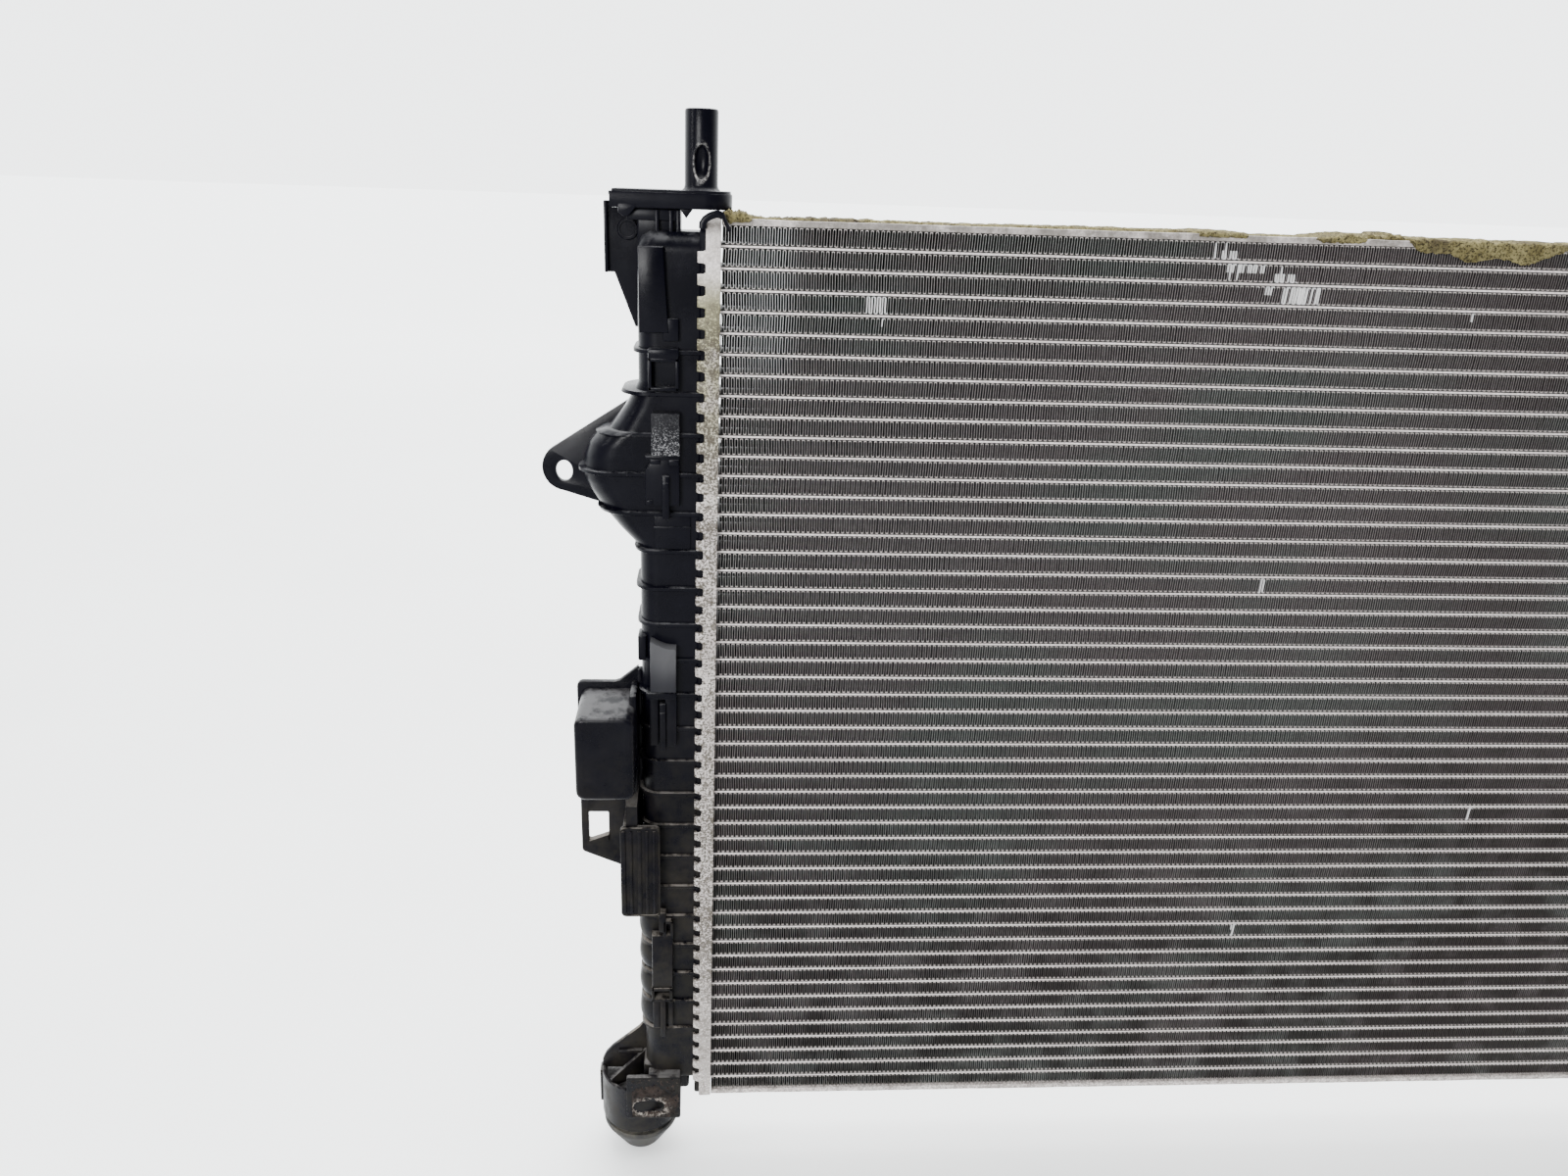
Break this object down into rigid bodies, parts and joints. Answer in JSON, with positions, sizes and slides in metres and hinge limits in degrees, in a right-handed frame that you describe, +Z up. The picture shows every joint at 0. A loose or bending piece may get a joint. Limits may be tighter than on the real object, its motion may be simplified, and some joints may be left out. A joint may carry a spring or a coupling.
{
  "type": "car radiator",
  "caption": "Cross-flow aluminium car radiator core with crimped black plastic end tanks, locating pegs, rubber feet, side ear and a drain tap.",
  "frame": {"origin": "middle of the bounding box at the plane that the two rubber feet stand on", "axes": "+X along the tubes from the inlet tank to the outlet tank, +Y through the core from its front face to the hose side, +Z up"},
  "size_m": [0.8354, 0.089, 0.5586],
  "materials": {
    "core_aluminium": "brazed tube and fin, dusty, dark between bright tube edges",
    "header_aluminium": "dull brazed sheet with speckled corrosion and olive stains",
    "black_plastic": "glass-filled nylon, satin blue-black, dusty low down",
    "seal_rubber": "matt black rubber, dusty",
    "aged_foam": "decayed open-cell foam, olive and crumbly"
  },
  "bodies": {
    "radiator": {"core_section_01": "core_aluminium", "core_section_02": "core_aluminium", "core_section_03": "core_aluminium", "core_section_04": "core_aluminium", "core_section_05": "core_aluminium", "core_section_06": "core_aluminium", "core_section_07": "core_aluminium", "core_section_08": "core_aluminium", "core_section_09": "core_aluminium", "core_section_10": "core_aluminium", "core_section_11": "core_aluminium", "core_section_12": "core_aluminium", "core_section_13": "core_aluminium", "core_section_14": "core_aluminium", "core_section_15": "core_aluminium", "core_section_16": "core_aluminium", "core_section_17": "core_aluminium", "top_side_plate": "header_aluminium", "bottom_side_plate": "header_aluminium", "top_foam_strip": "aged_foam", "left_header": "header_aluminium", "left_gasket": "seal_rubber", "left_tank": "black_plastic", "upper_left_mount": "black_plastic", "lower_left_isolator": "seal_rubber", "right_header": "header_aluminium", "right_gasket": "seal_rubber", "right_tank": "black_plastic", "upper_right_mount": "black_plastic", "lower_right_isolator": "seal_rubber", "left_box_bracket": "black_plastic"},
    "drain_tap": {"drain_tap": "black_plastic", "drain_tap_seal": "seal_rubber"}
  },
  "joints": [
    {"name": "drain_turn", "type": "hinge", "parent": "radiator", "child": "drain_tap", "pos_m": [0.357, 0.0165, 0.072], "axis": [0, 1, 0], "range_deg": [0, 90]}
  ]
}
